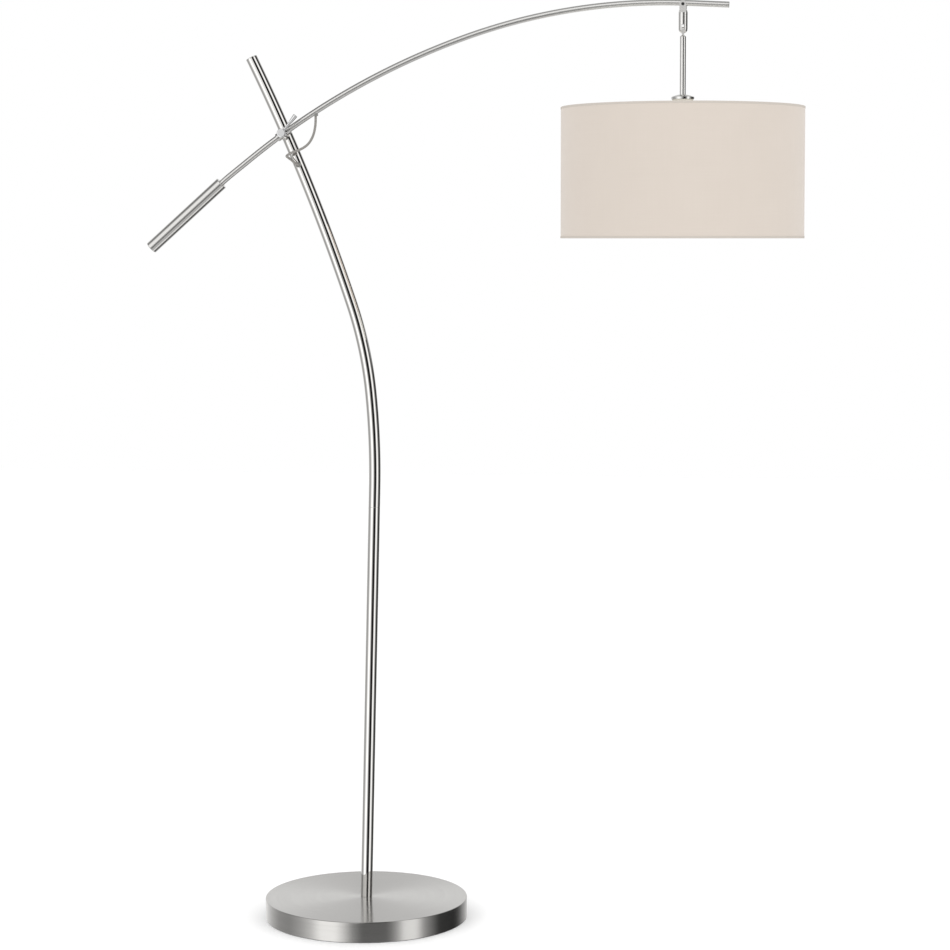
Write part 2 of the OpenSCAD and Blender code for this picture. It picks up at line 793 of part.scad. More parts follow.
module shade_nut() color([0.76, 0.75, 0.72]) {
    outer = holder_neck_d + 11;
    from_pin() translate([0, 0, neck_top - hub_t - nut_ring_h]) ring(outer, holder_neck_d, nut_ring_h);
}

module switch_shaft() color([0.78, 0.62, 0.3]) {
    start = socket_bore / 2 - 4;
    from_pin() translate([start, 0, switch_z]) rotate([0, 90, 0])
        cylinder(d = shaft_d, h = knob_r - start + knob_len / 2);
}

module switch_knob() color([0.1, 0.1, 0.1]) {
    ribs = 12;
    chamfer = 1;
    groove_d = 1;
    collar = 3;
    from_pin() translate([knob_r, 0, switch_z]) rotate([0, 90, 0]) difference() {
        union() {
            cylinder(d = knob_d, h = knob_len - chamfer);
            translate([0, 0, knob_len - chamfer])
                cylinder(d1 = knob_d, d2 = knob_d - 2 * chamfer, h = chamfer);
        }
        translate([0, 0, -past]) cylinder(d = shaft_d, h = knob_len / 2 + past);
        for (i = [0:ribs - 1]) {
            rotate([0, 0, i * 360 / ribs]) translate([knob_d / 2, 0, collar])
                cylinder(d = groove_d, h = knob_len, $fn = 16);
        }
    }
}

// ---- Shade ----

module spider_ring() color([0.8, 0.8, 0.78]) {
    hub_z = neck_top - hub_t;
    spoke_d = wire_d - 0.5;
    spoke_low = hub_z + spoke_d / 2;
    spoke_high = shade_top - tape_t - wire_d / 2;
    spoke_in = holder_neck_d / 2 + 3;
    rise = atan((spoke_high - spoke_low) / (ring_r - spoke_in));
    from_pin() {
        translate([0, 0, hub_z]) ring(holder_neck_d + 12, holder_neck_d + 2 * run_fit, hub_t);
        translate([0, 0, spoke_high]) rotate_extrude() translate([ring_r, 0]) circle(d = wire_d);
        for (a = [90, 210, 330]) {
            rotate([0, 0, a]) translate([spoke_in, 0, spoke_low]) rotate([0, 90 - rise, 0])
                cylinder(d = spoke_d, h = (ring_r - spoke_in) / cos(rise));
        }
    }
}

module bottom_ring() color([0.8, 0.8, 0.78]) {
    from_pin() translate([0, 0, shade_bottom + tape_t + wire_d / 2]) rotate_extrude()
        translate([ring_r, 0]) circle(d = wire_d);
}

// A layer of the shade's wall, from its outer radius inwards
module drum(outer_r, thick) {
    from_pin() translate([0, 0, shade_bottom + tape_t]) rotate_extrude()
        translate([outer_r - thick, 0]) square([thick, shade_h - 2 * tape_t]);
}

module shade_liner() color([0.95, 0.94, 0.92]) {
    drum(shade_d / 2 - tape_t - fabric_t, liner_t);
}

module shade_fabric() color([0.88, 0.84, 0.8]) {
    drum(shade_d / 2 - tape_t, fabric_t);
}

module rim_tapes() color([0.84, 0.81, 0.78]) {
    from_pin() for (z = [shade_bottom, shade_top - tape_h]) {
        translate([0, 0, z]) rotate_extrude() difference() {
            translate([shade_d / 2 - 2 * tape_t - wall_t, 0]) square([2 * tape_t + wall_t, tape_h]);
            translate([shade_d / 2 - tape_t - wall_t, z == shade_bottom ? tape_t : -1])
                square([wall_t, tape_h + 1 - tape_t]);
        }
    }
}

// ---- Bulb ----

module bulb_cap() color([0.75, 0.75, 0.74]) {
    end_h = 4;
    end_d = 9;
    wall = 0.8;
    from_pin() {
        translate([0, 0, cap_top - cap_len]) difference() {
            cylinder(d = cap_d, h = cap_len - end_h);
            translate([0, 0, -past]) cylinder(d = cap_d - 2 * wall, h = cap_len - end_h - 2 + past);
        }
        translate([0, 0, cap_top - end_h]) cylinder(d1 = cap_d, d2 = end_d, h = end_h);
    }
}

module bulb_glass() color([0.97, 0.96, 0.93]) {
    ball_z = cap_top - bulb_len + bulb_d / 2;
    neck_z = cap_top - cap_len - 6;
    neck_d = cap_d - 1.6;
    drop = 15;
    from_pin() difference() {
        union() {
            translate([0, 0, ball_z]) sphere(d = bulb_d);
            translate([0, 0, ball_z + drop])
                cylinder(r1 = sqrt(pow(bulb_d / 2, 2) - pow(drop, 2)), d2 = neck_d,
                    h = neck_z - ball_z - drop);
            translate([0, 0, neck_z]) cylinder(d = neck_d, h = 10);
        }
        translate([0, 0, ball_z]) sphere(d = bulb_d - 2 * glass_t);
        translate([0, 0, ball_z + drop - 1])
            cylinder(r1 = sqrt(pow(bulb_d / 2 - glass_t, 2) - pow(drop, 2)), d2 = neck_d - 2 * glass_t,
                h = neck_z - ball_z - drop + 1.01);
        translate([0, 0, neck_z]) cylinder(d = neck_d - 2 * glass_t, h = 20);
    }
}

// ---- Cord ----

function unit(v) = v / norm(v);
// The direction of the route at point i
function heading(pts, i) =
    unit(pts[min(i + 1, len(pts) - 1)] - pts[max(i - 1, 0)]);
// A normal carried from ring to ring without twist
function carried(pts, i) =
    i == 0 ? [1, 0, 0]
           : let (t = heading(pts, i), n = carried(pts, i - 1)) unit(n - (n * t) * t);
function ring_points(pts, i, r, n) =
    let (t = heading(pts, i), u = carried(pts, i), v = cross(t, u))
    [for (k = [0:n - 1]) pts[i] + r * (cos(360 * k / n) * u + sin(360 * k / n) * v)];

module cord_loop() color([0.45, 0.44, 0.41]) {
    n = cord_sides;
    last = len(CORD_ROUTE) - 1;
    points = [for (i = [0:last]) each ring_points(CORD_ROUTE, i, cord_d / 2, n)];
    sides = [for (i = [0:last - 1], k = [0:n - 1])
        [i * n + k, i * n + (k + 1) % n, (i + 1) * n + (k + 1) % n, (i + 1) * n + k]];
    start_face = [for (k = [0:n - 1]) n - 1 - k];
    end_face = [for (k = [0:n - 1]) last * n + k];
    from_clamp() polyhedron(points = points, faces = concat([start_face], sides, [end_face]));
}

base_cover();
base_weight();
base_pad();
base_nipple();
base_washer();
base_nut();
cord_inlet();
foot_plug();
lower_pole();
pole_coupler();
upper_pole();
pole_cap();
pole_grommet();
pole_wire();
front_saddle();
rear_saddle();
pivot_bolt();
friction_washers();
arm_clamp();
arm_bush();
arm_tube();
arm_cap();
arm_grommet();
arm_wire();
counterweight();
weight_screw();
lever_hub();
lever_rod();
lever_grip();
link_body();
hanger_pin();
knuckle_pin();
stem();
stem_wire();
husk();
lamp_holder();
holder_insulator();
screw_shell();
centre_contact();
shade_nut();
switch_knob();
switch_shaft();
spider_ring();
bottom_ring();
shade_liner();
shade_fabric();
rim_tapes();
bulb_cap();
bulb_glass();
cord_loop();
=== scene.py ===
import math
import bpy
import numpy as np
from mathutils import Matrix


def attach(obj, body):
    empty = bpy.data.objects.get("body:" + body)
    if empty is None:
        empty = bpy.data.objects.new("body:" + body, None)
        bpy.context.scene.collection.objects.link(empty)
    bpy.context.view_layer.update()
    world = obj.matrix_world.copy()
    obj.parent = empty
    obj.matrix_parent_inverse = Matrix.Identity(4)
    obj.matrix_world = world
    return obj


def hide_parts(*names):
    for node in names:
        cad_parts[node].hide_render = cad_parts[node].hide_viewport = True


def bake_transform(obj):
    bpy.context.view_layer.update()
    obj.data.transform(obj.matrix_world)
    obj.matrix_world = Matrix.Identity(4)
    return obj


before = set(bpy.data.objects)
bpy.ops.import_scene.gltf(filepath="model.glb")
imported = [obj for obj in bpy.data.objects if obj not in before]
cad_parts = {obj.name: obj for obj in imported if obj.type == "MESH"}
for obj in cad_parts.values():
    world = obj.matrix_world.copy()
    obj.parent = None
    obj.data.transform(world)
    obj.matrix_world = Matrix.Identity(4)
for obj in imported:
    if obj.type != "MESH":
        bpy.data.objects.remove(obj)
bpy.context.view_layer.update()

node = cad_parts

# ---- The view ----
# The camera stands a little right of the lamp's front, at chest height, and looks slightly down,
# so that the whole lamp shows from the base to the level end of the arm.
camera = bpy.data.objects.new("camera", bpy.data.cameras.new("camera"))
bpy.context.scene.collection.objects.link(camera)
bpy.context.scene.camera = camera
camera_down, camera_round = math.radians(3.589), math.radians(8.207)
camera.location = (0.8848, -4.6942, 1.2813)
camera.rotation_euler = (math.pi / 2 - camera_down, 0, camera_round)
camera.data.lens = 96.78
camera.data.sensor_width = 36
camera.data.shift_y = -0.08
camera.data.clip_end = 60

# ---- Cord across the clamp ----
# A short round flex in a soft grey plastic jacket. It drops out of the arm's underside, hangs in
# slack across the pole's front, turns back on itself and goes in at the pole's own hole.
class Shade:
    """A value or a colour on its way through a material. The signs + - * / ** add Math nodes, also
    when a plain number comes first, and `part` adds any other node."""

    def __init__(self, tree, socket):
        self.tree, self.socket = tree, socket

    def part(self, kind, settings=None, inputs=None, out=0, stops=None):
        """A node of that type: its settings first, then a ramp's stops as (place, colour), then
        the values or links of its sockets. Returns one of its outputs."""
        made = self.tree.nodes.new("ShaderNode" + kind)
        for name, value in (settings or {}).items():
            setattr(made, name, value)
        for i, (where, colour) in enumerate(stops or []):
            spot = made.color_ramp.elements[i] if i < 2 else made.color_ramp.elements.new(where)
            spot.position, spot.color = where, colour
        for name, value in (inputs or {}).items():
            if isinstance(value, Shade):
                self.tree.links.new(value.socket, made.inputs[name])
            else:
                made.inputs[name].default_value = value
        return Shade(self.tree, made.outputs[out])

    def maths(self, sign, other=0.0, turned=False):
        pair = (other, self) if turned else (self, other)
        return self.part("Math", {"operation": sign}, {0: pair[0], 1: pair[1]})

    def __add__(self, other):
        return self.maths("ADD", other)

    __radd__ = __add__

    def __sub__(self, other):
        return self.maths("SUBTRACT", other)

    def __rsub__(self, other):
        return self.maths("SUBTRACT", other, True)

    def __mul__(self, other):
        return self.maths("MULTIPLY", other)

    __rmul__ = __mul__

    def __truediv__(self, other):
        return self.maths("DIVIDE", other)

    def __pow__(self, other):
        return self.maths("POWER", other)

    def stretched(self, x, y, z):
        """The position with each direction multiplied by its own number."""
        return self.part("Mapping", inputs={"Vector": self, "Scale": (x, y, z)})

    def grain(self, scale, detail=3.0, rough=0.5):
        """Smooth noise from 0 to 1 at that many lumps a metre."""
        return self.part("TexNoise", {"noise_dimensions": "3D"},
                         {"Vector": self, "Scale": scale, "Detail": detail, "Roughness": rough})

    def between(self, low, high):
        """The value taken from 0..1 to low..high."""
        return self * (high - low) + low

    def tint(self, low, high):
        """A colour that goes from low to high as the value goes from 0 to 1."""
        return self.part("Mix", {"data_type": "RGBA"},
                         {"Factor": self, 6: (*low, 1), 7: (*high, 1)}, out=2)

    def bump(self, depth, strength=1.0):
        """A surface that stands up by `depth` metres where the value is 1."""
        return self.part("Bump", inputs={"Height": self, "Distance": depth, "Strength": strength})


def finish(name, fixed, varied, source="Object"):
    """A material of one Principled shader. `fixed` are its plain sockets; varied(at) takes the
    Object position, or the piece's UV, and returns the sockets that change over the surface."""
    made = bpy.data.materials.new(name)
    made.use_nodes = True
    tree = made.node_tree
    shader = tree.nodes["Principled BSDF"]
    for socket, value in fixed.items():
        shader.inputs[socket].default_value = value
    start = Shade(tree, tree.nodes.new("ShaderNodeTexCoord").outputs[source])
    for socket, value in varied(start).items():
        tree.links.new(value.socket, shader.inputs[socket])
    return made


def skin(name, rings, material, body, looped=False):
    """A piece from a grid of points: rings[i, k] is place k round ring i. Neighbours in both ways
    make four-sided faces; the rings close round, and either the last ring joins the first or one
    flat face closes each end. UV is (metres along, turns round)."""
    count, sides = rings.shape[:2]
    last = count if looped else count - 1
    i, k = np.meshgrid(np.arange(last), np.arange(sides), indexing="ij")
    up, on = (i + 1) % count, (k + 1) % sides
    faces = np.stack([i * sides + k, i * sides + on, up * sides + on, up * sides + k], -1)
    faces = faces.reshape(-1, 4).tolist()
    middle = rings.mean(1)
    first = rings[:, 0]
    gaps = np.linalg.norm(np.roll(first, -1, 0) - first, axis=1)
    far = np.concatenate([[0], np.cumsum(gaps)])
    turn = np.stack([k, k + 1, k + 1, k], -1) / sides
    run = np.stack([far[i], far[i], far[i + 1], far[i + 1]], -1)
    uv = np.stack([run, turn], -1).reshape(-1, 2)
    if not looped:
        faces += [list(range(sides))[::-1], list(range((count - 1) * sides, count * sides))]
        around = np.arange(sides) / sides
        ends = [np.stack([0 * around, around[::-1]], -1),
                np.stack([0 * around + far[-2], around], -1)]
        uv = np.concatenate([uv, *ends])
    mesh = bpy.data.meshes.new(name)
    mesh.from_pydata(rings.reshape(-1, 3).tolist(), [], faces)
    mesh.uv_layers.new(name="UVMap").data.foreach_set("uv", uv.astype(np.float32).ravel())
    mesh.polygons.foreach_set("use_smooth", [True] * len(faces))
    if not looped:
        mesh.polygons[len(faces) - 1].use_smooth = mesh.polygons[len(faces) - 2].use_smooth = False
    mesh.materials.append(material)
    mesh.update()
    piece = bpy.data.objects.new(name, mesh)
    bpy.context.scene.collection.objects.link(piece)
    if body:
        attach(piece, body)
    return piece


def unit(rows):
    """Each row divided by its own length."""
    return rows / np.linalg.norm(rows, axis=-1, keepdims=True)


def carried(path, side):
    """A normal and its cross normal at each point of a path. The normal starts at `side`, and from
    point to point it is mirrored twice, which carries it on without twist."""
    heading = unit(np.gradient(path, axis=0))
    normal = [unit(np.array(side) - heading[0] * (heading[0] @ np.array(side)))]
    for a, b, t, u in zip(path[:-1], path[1:], heading[:-1], heading[1:]):
        v = b - a
        n = normal[-1] - 2 * v * (v @ normal[-1]) / (v @ v)
        t = t - 2 * v * (v @ t) / (v @ v)
        w = u - t
        normal.append(n - 2 * w * (w @ n) / max(w @ w, 1e-20))
    normal = unit(np.array(normal))
    return normal, np.cross(heading, normal)


def swept(path, radius, sides, side=(0, 1, 0)):
    """Rings round a path: centre + r (cos t n + sin t b), with t once round, n and b the carried
    normals and r one radius or one for each point."""
    n, b = carried(path, side)
    t = np.linspace(0, 2 * np.pi, sides, endpoint=False)[None, :, None]
    r = np.broadcast_to(radius, len(path))[:, None, None]
    return path[:, None] + r * (np.cos(t) * n[:, None] + np.sin(t) * b[:, None])


def even_curve(points, count):
    """A smooth curve through the points, even in length: a Catmull-Rom cubic between neighbours,
    sampled finely and then taken at equal distances."""
    p = np.vstack([2 * points[0] - points[1], points, 2 * points[-1] - points[-2]])
    t = np.linspace(0, 1, 24, endpoint=False)[:, None]
    a, b, c, d = (p[i:len(p) - 3 + i, None] for i in range(4))
    fine = 0.5 * (2 * b + (c - a) * t + (2 * a - 5 * b + 4 * c - d) * t ** 2
                  + (3 * b - a - 3 * c + d) * t ** 3)
    fine = np.vstack([fine.reshape(-1, 3), points[-1:]])
    far = np.concatenate([[0], np.cumsum(np.linalg.norm(np.diff(fine, axis=0), axis=1))])
    at = np.linspace(0, far[-1], count)
    return np.stack([np.interp(at, far, fine[:, i]) for i in range(3)], 1), far[-1]


clamp = np.array([-0.148166, 0.0, 1.47669])
cord_d = 0.0046
cord_route = clamp + np.array([
    [60.886, -25, 37.963], [60.886, -25, 30.963], [60.886, -25, 22.263], [60, -25.5, 12],
    [58, -26.5, 1], [54.5, -28, -9], [49, -29, -18], [41.5, -30, -25], [32.5, -30.5, -30],
    [23, -30.5, -33.5], [15, -30, -36.5], [9, -28, -39.5], [5, -22, -42], [7.5, -16.5, -45],
    [12, -16.5, -48.2], [16, -19, -51.2], [20, -20, -54.2], [23.5, -18.2, -56.8],
    [24.926, -14, -57.854], [24.926, -9, -57.854], [24.926, -4, -57.854]]) / 1000
cord_path, cord_length = even_curve(cord_route, 220)


def cord_look(at):
    """Soft plastic: a faint lengthwise drag from the die, and a slight dusty mottle."""
    drag = at.stretched(30, 26, 1).grain(1.0, 2.0)
    mottle = at.stretched(400, 6, 1).grain(1.0, 2.0)
    return {"Base Color": mottle.tint((0.22, 0.21, 0.195), (0.29, 0.275, 0.255)),
            "Roughness": drag.between(0.28, 0.42), "Normal": drag.bump(0.00003, 0.3)}


cord_jacket = finish("cord_jacket", {"Specular IOR Level": 0.8}, cord_look, "UV")
cord = skin("clamp_cord", swept(cord_path, cord_d / 2, 28, (1, 0, 0)), cord_jacket, None)
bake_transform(cord)
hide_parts("cord_loop")

# ---- Studio ----
# A pale floor under a white sky, with two tall white panels beside the camera and darker stretches
# between them, which polished metal shows as long upright streaks.
floor_half = 9.0
floor_mesh = bpy.data.meshes.new("floor")
floor_mesh.from_pydata([(x * floor_half, y * floor_half, 0) for x, y in
                        ((-1, -1), (1, -1), (1, 1), (-1, 1))], [], [(0, 1, 2, 3)])
floor = bpy.data.objects.new("floor", floor_mesh)
bpy.context.scene.collection.objects.link(floor)
floor.visible_glossy = False
floor_mesh.materials.append(finish(
    "pale_floor", {"Roughness": 0.9, "Specular IOR Level": 0.1, "Emission Strength": 0.12,
                   "Emission Color": (1, 1, 1, 1)},
    lambda at: {"Base Color": at.grain(3.0).tint((0.9, 0.9, 0.9), (0.93, 0.93, 0.93))}))

world = bpy.data.worlds.new("studio")
bpy.context.scene.world = world
world.use_nodes = True
sky = world.node_tree
look = Shade(sky, sky.nodes.new("ShaderNodeTexCoord").outputs["Generated"])
way = look.part("SeparateXYZ", inputs={"Vector": look})
east, north, high = (Shade(sky, way.socket.node.outputs[i]) for i in range(3))
# Turns round the lamp, 0.5 towards the camera and growing to its right
camera_turn = 10.7 / 360
around = (east.part("Math", {"operation": "ARCTAN2"}, {0: east, 1: 0 - north}) / (2 * math.pi)
          + (0.5 - camera_turn))
around = around.part("Math", {"operation": "WRAP"}, {0: around, 1: 1.0, 2: 0.0})
# The panels' brightness by degrees from the camera, more than 0 to its right
panels = [(-180, 1.15), (-158, 0.95), (-144, 0.75), (-118, 0.40), (-98, 0.36), (-80, 0.55),
          (-66, 0.85), (-54, 1.45), (-36, 1.45), (-26, 0.90), (-16, 0.30), (-5, 0.10), (3, 0.0),
          (22, 0.0), (29, 0.20), (36, 0.60), (43, 1.3), (58, 1.3), (68, 0.50), (80, 0.25),
          (90, 0.05), (120, 0.02), (131, 0.10), (143, 0.38), (160, 0.65), (180, 1.1)]
ring = around.part("ValToRGB", inputs={"Fac": around},
                   stops=[((a + 180) / 360, (v, v, v, 1))
                          for a, v in (panels[0], panels[-1], *panels[1:-1])])


def ease_in(value, start, end):
    """0 up to start and 1 from end, straight between."""
    ramp = (value - start) / (end - start)
    return ramp.part("Clamp", inputs={"Value": ramp})


front = ease_in(0 - north, 0.2, 0.6)
back = ease_in(north, 0.3, 0.7)
left = ease_in(0 - east, 0.2, 0.6)
to_left, to_right = ease_in(0 - east, -0.16, -0.03), ease_in(east, 0.06, 0.2)
far_right = ease_in(east, 0.45, 0.7) * ease_in(north, -0.12, 0.08)
# What replaces the panels higher up, lower down and to the sides, as (how much, how bright)
for share, grey in ((front * to_left * ease_in(high, 0.03, 0.13), 1.05),
                    (front * to_right * ease_in(0 - high, 0.26, 0.45), 0.55),
                    (back * ease_in(high, 0.10, 0.20), 0.86),
                    (back * to_right * ease_in(high, 0.10, 0.20), 0.68),
                    (back * ease_in(high, 0.35, 0.7), 0.42),
                    (left * ease_in(high, 0.45, 0.65), 0.16),
                    (far_right * ease_in(high, 0.12, 0.25), 0.03),
                    (far_right * ease_in(0 - high, 0.3, 0.5), 0.03),
                    (ease_in(high, 0.72, 0.9), 0.34), (ease_in(0 - high, 0.82, 0.94), 0.62)):
    ring = ring.part("Mix", {"data_type": "RGBA"},
                     {"Factor": share, 6: ring, 7: (grey, grey, grey, 1)}, out=2)
shiny = Shade(sky, sky.nodes.new("ShaderNodeLightPath").outputs["Is Glossy Ray"])
light = ring.part("Mix", {"data_type": "RGBA"},
                  {"Factor": shiny, 6: (1.0, 1.0, 1.0, 1), 7: ring}, out=2)
sky.links.new(light.socket, sky.nodes["Background"].inputs["Color"])

lamp_middle = np.array([0.1, 0, 1.0])
for name, place, size, power in (("soft_key", (-2.6, -3.4, 3.2), 2.2, 26),
                                 ("soft_fill", (3.4, -2.4, 2.6), 2.4, 20)):
    lamp = bpy.data.objects.new(name, bpy.data.lights.new(name, "AREA"))
    bpy.context.scene.collection.objects.link(lamp)
    lamp.data.size, lamp.data.energy = size, power
    lamp.location = place
    lamp.visible_glossy = False
    away = np.array(place) - lamp_middle
    across = math.hypot(away[0], away[1])
    lamp.rotation_euler = (math.atan2(across, away[2]), 0, math.atan2(away[0], -away[1]))
bpy.context.scene.view_settings.view_transform = "Standard"
bpy.context.scene.view_settings.look = "None"

# ---- Base ----
# A shallow pan spun from steel sheet and turned-brushed in circles, then plated in satin nickel.
# It sits over a cast weight, which a nipple and a nut hold to the pole's foot.


def rounded(corners, arc=7):
    """An outline of (across, up, radius) corners. A corner of radius r becomes an arc that starts
    and ends r tan(turn / 2) from the point, and a point just outside each end keeps flats flat."""
    points = [np.array(corners[0][:2], float)]
    for before, here, after in zip(corners[:-2], corners[1:-1], corners[2:]):
        p, r = np.array(here[:2], float), here[2]
        d1, d2 = unit(p - np.array(before[:2])), unit(np.array(after[:2]) - p)
        angle = math.acos(max(-1.0, min(1.0, float(d1 @ d2))))
        reach = r * math.tan(angle / 2)
        n = (d2 - math.cos(angle) * d1) / math.sin(angle)
        phi = np.linspace(0, angle, arc)[:, None]
        bend = p - d1 * reach + r * (np.sin(phi) * d1 + (1 - np.cos(phi)) * n)
        points += [p - d1 * (reach + r * 0.35), *bend, p + d2 * (reach + r * 0.35)]
    return np.array([*points, np.array(corners[-1][:2], float)])


def turned(outline, origin, axis=(0, 0, 1), sides=96):
    """A turned shape: at (across r, up h) of the outline, origin + h axis + r (cos t u + sin t v),
    with t once round and u, v square to the axis."""
    axis = unit(np.array(axis, float))
    u = unit(np.cross([0, 1, 0] if abs(axis[1]) < 0.9 else [0, 0, 1], axis))
    v = np.cross(axis, u)
    t = np.linspace(0, 2 * np.pi, sides, endpoint=False)[None, :, None]
    r, h = outline[:, 0, None, None], outline[:, 1, None, None]
    return np.array(origin) + h * axis + r * (np.cos(t) * u + np.sin(t) * v)


base_r, base_high, sheet, pad_gap, nipple_hole_r = 0.1905, 0.0385, 0.0015, 0.001, 0.0064
base_in, base_under, seam_high = base_r - sheet, base_high - sheet, 0.02
base_outline = rounded([(base_in, seam_high, 0), (base_in, pad_gap, 0.0006),
                        (base_r, pad_gap, 0.0006), (base_r, base_high, 0.0013),
                        (nipple_hole_r, base_high, 0.0003), (nipple_hole_r, base_under, 0.0003),
                        (base_in, base_under, 0.0008), (base_in, seam_high + 0.0001, 0)], 9)


def base_look(at):
    """Circular brushing: fine noise that changes only with the distance from the centre, with a
    little along the arc, and on the wall streaks that run round it."""
    part = at.part("SeparateXYZ", inputs={"Vector": at})
    x, y, z = (Shade(at.tree, part.socket.node.outputs[i]) for i in range(3))
    far = (x * x + y * y) ** 0.5
    turn = at.part("Math", {"operation": "ARCTAN2"}, {0: y, 1: x})
    lines = at.part("CombineXYZ", inputs={0: far * 1900.0, 1: turn * 1.6, 2: z * 1900.0})
    fine = lines.grain(1.0, 4.0, 0.6)
    rings = at.part("CombineXYZ", inputs={0: far * 160.0, 1: turn * 0.9, 2: z * 160.0})
    broad = rings.grain(1.0, 3.0)
    smudge = at.grain(9.0, 3.0)
    return {"Base Color": (fine * 0.5 + broad * 0.5).tint((0.50, 0.49, 0.475), (0.66, 0.65, 0.63)),
            "Roughness": fine * 0.05 + broad * 0.04 + smudge * 0.04 + 0.17,
            "Normal": fine.bump(0.00001, 0.35)}


base_metal = finish("brushed_base", {"Metallic": 1.0, "Anisotropic": 0.9,
                                     "Anisotropic Rotation": 0.25}, base_look)
base_cover = skin("base_cover_spun", turned(base_outline, (0, 0, 0), sides=256), base_metal,
                  "stand", looped=True)
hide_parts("base_cover")


def dress(material, *names):
    """Gives CAD pieces that material."""
    for name in names:
        node[name].data.materials.clear()
        node[name].data.materials.append(material)


def grainy(low, high, scale, rough, depth=0.0, detail=4.0):
    """A look of one noise: it tints from low to high, moves the roughness and raises the grain."""
    def look(at):
        mix = at.grain(scale, detail)
        made = {"Base Color": mix.tint(low, high), "Roughness": mix.between(*rough)}
        if depth:
            made["Normal"] = mix.bump(depth, 0.6)
        return made
    return look


dress(finish("cast_concrete", {"Specular IOR Level": 0.3},
             grainy((0.19, 0.185, 0.175), (0.33, 0.325, 0.31), 90, (0.8, 0.95), 0.0006, 8)),
      "base_weight")
dress(finish("pressed_felt", {"Specular IOR Level": 0.15},
             grainy((0.012, 0.012, 0.012), (0.04, 0.04, 0.038), 900, (0.9, 1.0), 0.0004, 6)),
      "base_pad")
dress(finish("turned_brass", {"Metallic": 1.0},
             grainy((0.72, 0.52, 0.24), (0.80, 0.60, 0.30), 300, (0.22, 0.34))),
      "base_nipple", "switch_shaft", "screw_shell", "centre_contact")
dress(finish("zinc_plated_steel", {"Metallic": 1.0},
             grainy((0.50, 0.50, 0.49), (0.62, 0.62, 0.61), 220, (0.25, 0.42))),
      "base_washer", "base_nut", "foot_plug", "pole_coupler", "arm_bush")
dress(finish("black_rubber", {"Specular IOR Level": 0.35},
             grainy((0.012, 0.012, 0.012), (0.028, 0.028, 0.027), 500, (0.55, 0.7), 0.0001)),
      "cord_inlet")

# ---- Pole ----
# Two lengths of steel tube, the lower one straight and the upper one rolled to a long bow. They
# meet over a hidden coupler with a hairline seam, are polished lengthwise and nickel plated.


def bends(start, steps, spacing=0.004):
    """Points along a run of straights and bends in the XZ plane, from (x, z, heading in degrees
    from straight up towards -X). Through a bend of radius r and length s the heading a grows to
    b = a + s / r, x falls by r (cos a - cos b) and z grows by r (sin b - sin a)."""
    x, z, a = start[0], start[1], math.radians(start[2])
    runs = [np.array([[x, z]])]
    for length, r in steps:
        s = np.linspace(0, length, max(2, int(length / spacing)))[1:]
        b = a + s / r if r else a + 0 * s
        if r:
            run = np.stack([x - r * (np.cos(a) - np.cos(b)), z + r * (np.sin(b) - np.sin(a))], 1)
        else:
            run = np.stack([x - s * np.sin(a), z + s * np.cos(a)], 1)
        runs.append(run)
        (x, z), a = run[-1], b[-1]
    return np.vstack(runs)


def tube_rings(flat, y, radius, sides, ease):
    """Rings round a run in the plane y. At both ends the radius falls by `ease` through a quarter
    round, so that a cut end has a softened edge."""
    path = np.stack([flat[:, 0], np.full(len(flat), y), flat[:, 1]], 1)
    heads = [unit(path[1] - path[0]), unit(path[-1] - path[-2])]
    phi = np.linspace(0, np.pi / 2, 6)
    inset = ease * (1 - np.sin(phi))
    at = ease * (1 - np.cos(phi))
    path = np.vstack([path[0] + at[:, None] * heads[0], path[0] + heads[0] * ease * 1.5, path[2:-2],
                      path[-1] - heads[1] * ease * 1.5, path[-1] - at[::-1, None] * heads[1]])
    radii = np.concatenate([radius - inset, np.full(len(path) - 12, radius), radius - inset[::-1]])
    return swept(path, radii, sides)


def drawn_look(low, high, rough, lines, depth):
    """Metal brushed along its length, on UV: noise that is long along the tube and short round it,
    and a slow wave in the plating's gloss."""
    def look(at):
        fine = at.stretched(5, lines, 1).grain(1.0, 4.0, 0.6)
        slow = at.stretched(7, 3, 1).grain(1.0, 2.0)
        return {"Base Color": fine.tint(low, high),
                "Roughness": fine * rough[1] + slow * rough[1] + rough[0],
                "Normal": fine.bump(depth, 0.3)}
    return look


pole_d, pole_edge, lower_len, pole_lean = 0.022, 0.0004, 0.741, -1.3
pole_foot, pole_seam = (0, base_high, pole_lean), (0.016811, 0.779309, pole_lean)
satin_nickel = finish("satin_nickel", {"Metallic": 1.0}, drawn_look(
    (0.78, 0.765, 0.74), (0.86, 0.85, 0.83), (0.0, 0.02), 120, 0.0000004), "UV")
lower_run = bends(pole_foot, [(lower_len, 0)])
lower_pole = skin("lower_pole_tube", tube_rings(lower_run, 0, pole_d / 2, 64, pole_edge),
                  satin_nickel, "stand")
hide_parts("lower_pole")
upper_run = bends(pole_seam, [(0.035, 0), (0.180, 1.475), (0.170, 0.750), (0.495, 3.820)])
upper_pole = skin("upper_pole_tube", tube_rings(upper_run, 0, pole_d / 2, 64, pole_edge),
                  satin_nickel, "stand")
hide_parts("upper_pole")
plated = finish("nickel_plated_fittings", {"Metallic": 1.0},
                grainy((0.70, 0.69, 0.67), (0.80, 0.79, 0.77), 60, (0.12, 0.2)))
dress(plated, "pole_cap", "front_saddle", "rear_saddle", "pivot_bolt", "arm_clamp", "husk",
      "shade_nut")
dress(finish("grey_plastic", {"Specular IOR Level": 0.45},
             grainy((0.20, 0.20, 0.19), (0.26, 0.26, 0.25), 400, (0.35, 0.5))),
      "pole_grommet", "arm_grommet")
dress(finish("washer_plastic", {"Specular IOR Level": 0.4},
             grainy((0.05, 0.048, 0.045), (0.09, 0.085, 0.08), 500, (0.5, 0.65))),
      "friction_washers")
